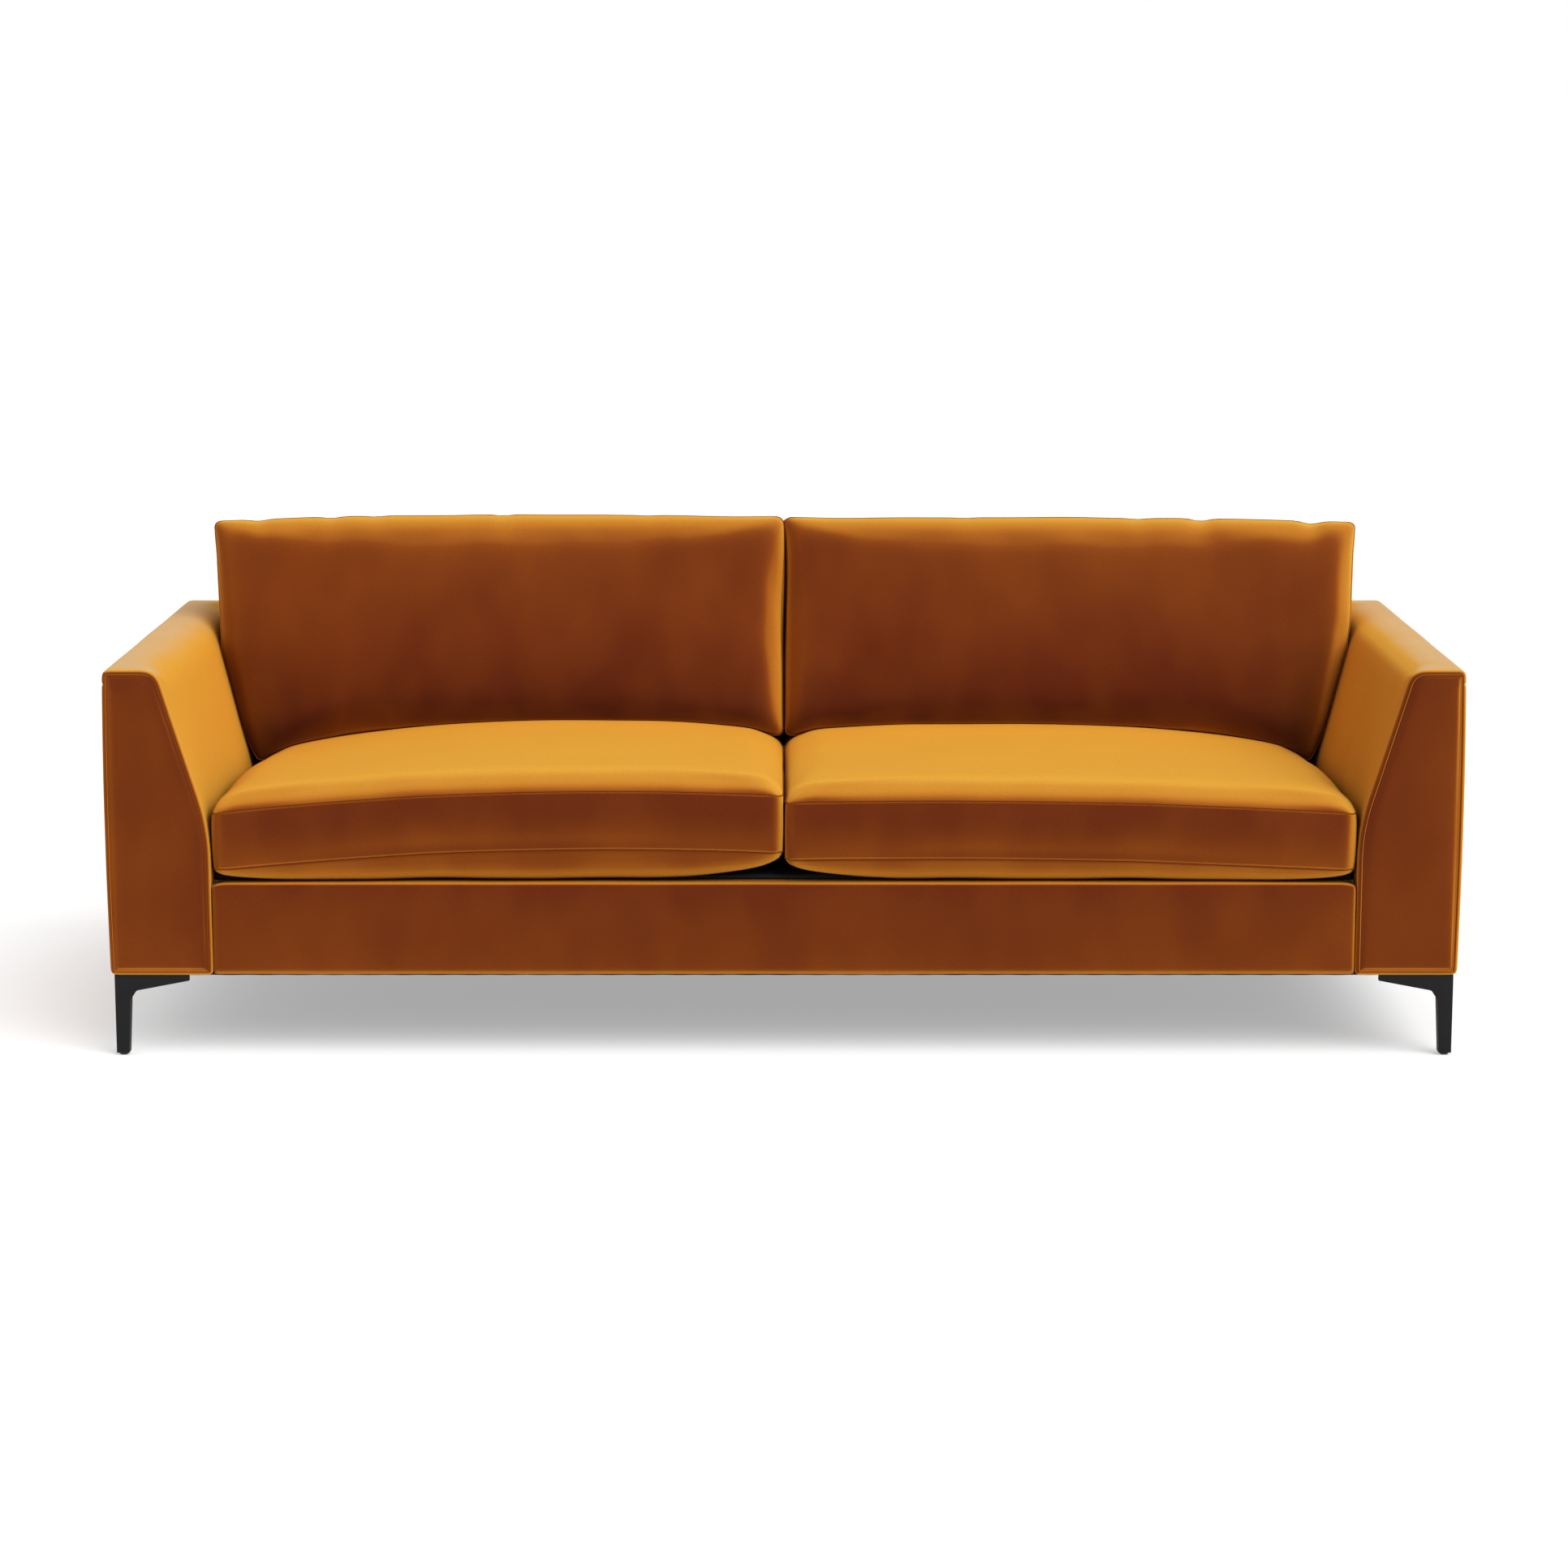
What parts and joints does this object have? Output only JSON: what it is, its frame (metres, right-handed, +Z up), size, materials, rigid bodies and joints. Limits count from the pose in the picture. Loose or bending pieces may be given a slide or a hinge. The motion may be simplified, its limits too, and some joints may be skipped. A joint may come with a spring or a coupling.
{
  "type": "tuxedo sofa",
  "caption": "Tuxedo sofa in cut velvet: arms and back of one height with slanted insides, loose box seat cushions, loose leaning back cushions and slim metal corner legs.",
  "frame": {"origin": "on the floor, midway between the arms and midway between the front and the rear", "axes": "+X to the right as seen from the front, +Y towards the back of the sofa, +Z up; the front faces -Y"},
  "size_m": [2.26, 0.92, 0.8331],
  "materials": {
    "velvet": "cut velvet with a strong golden sheen",
    "timber": "planed hardwood and plywood",
    "black_metal": "matte black powder coat",
    "nylon": "moulded black nylon",
    "zinc_steel": "zinc-plated screws",
    "spring_steel": "drawn wire",
    "webbing": "woven elastic webbing",
    "felt": "black non-woven lining cloth",
    "foam": "cut upholstery foam"
  },
  "bodies": {
    "sofa_frame": {"base_front_rail": "timber", "base_back_rail": "timber", "base_side_rail_left": "timber", "base_side_rail_right": "timber", "base_centre_stretcher": "timber", "spring_batten_front": "timber", "spring_batten_back": "timber", "corner_block_front_left": "timber", "corner_block_front_right": "timber", "corner_block_back_left": "timber", "corner_block_back_right": "timber", "front_border_cover": "velvet", "seat_deck": "felt", "dust_cloth": "felt", "seat_spring_bank_left": "spring_steel", "seat_spring_bank_right": "spring_steel", "back_cover": "velvet", "back_bottom_rail": "timber", "back_top_rail": "timber", "back_post_left": "timber", "back_post_centre": "timber", "back_post_right": "timber", "back_webbing_1": "webbing", "back_webbing_2": "webbing", "back_webbing_3": "webbing", "back_webbing_4": "webbing", "arm_cover_left": "velvet", "arm_front_board_left": "timber", "arm_rear_board_left": "timber", "arm_top_rail_left": "timber", "arm_base_board_left": "timber", "arm_cover_right": "velvet", "arm_front_board_right": "timber", "arm_rear_board_right": "timber", "arm_top_rail_right": "timber", "arm_base_board_right": "timber", "leg_front_left": "black_metal", "leg_front_right": "black_metal", "leg_back_left": "black_metal", "leg_back_right": "black_metal", "glide_front_left": "nylon", "glide_front_right": "nylon", "glide_back_left": "nylon", "glide_back_right": "nylon", "leg_screw_front_left_1": "zinc_steel", "leg_screw_front_left_2": "zinc_steel", "leg_screw_front_right_1": "zinc_steel", "leg_screw_front_right_2": "zinc_steel", "leg_screw_back_left_1": "zinc_steel", "leg_screw_back_left_2": "zinc_steel", "leg_screw_back_right_1": "zinc_steel", "leg_screw_back_right_2": "zinc_steel"},
    "seat_cushion_left": {"seat_cushion_cover_left": "velvet", "seat_cushion_core_left": "foam"},
    "seat_cushion_right": {"seat_cushion_cover_right": "velvet", "seat_cushion_core_right": "foam"},
    "back_cushion_left": {"back_cushion_cover_left": "velvet", "back_cushion_core_left": "foam"},
    "back_cushion_right": {"back_cushion_cover_right": "velvet", "back_cushion_core_right": "foam"}
  },
  "joints": [
    {"name": "seat_cushion_left_draw", "type": "slide", "parent": "sofa_frame", "child": "seat_cushion_left", "axis": [0, -1, 0], "range_m": [0, 0.78]},
    {"name": "seat_cushion_right_draw", "type": "slide", "parent": "sofa_frame", "child": "seat_cushion_right", "axis": [0, -1, 0], "range_m": [0, 0.78]},
    {"name": "back_cushion_left_lift", "type": "slide", "parent": "sofa_frame", "child": "back_cushion_left", "axis": [0, 0, 1], "range_m": [0, 0.45]},
    {"name": "back_cushion_right_lift", "type": "slide", "parent": "sofa_frame", "child": "back_cushion_right", "axis": [0, 0, 1], "range_m": [0, 0.45]}
  ]
}
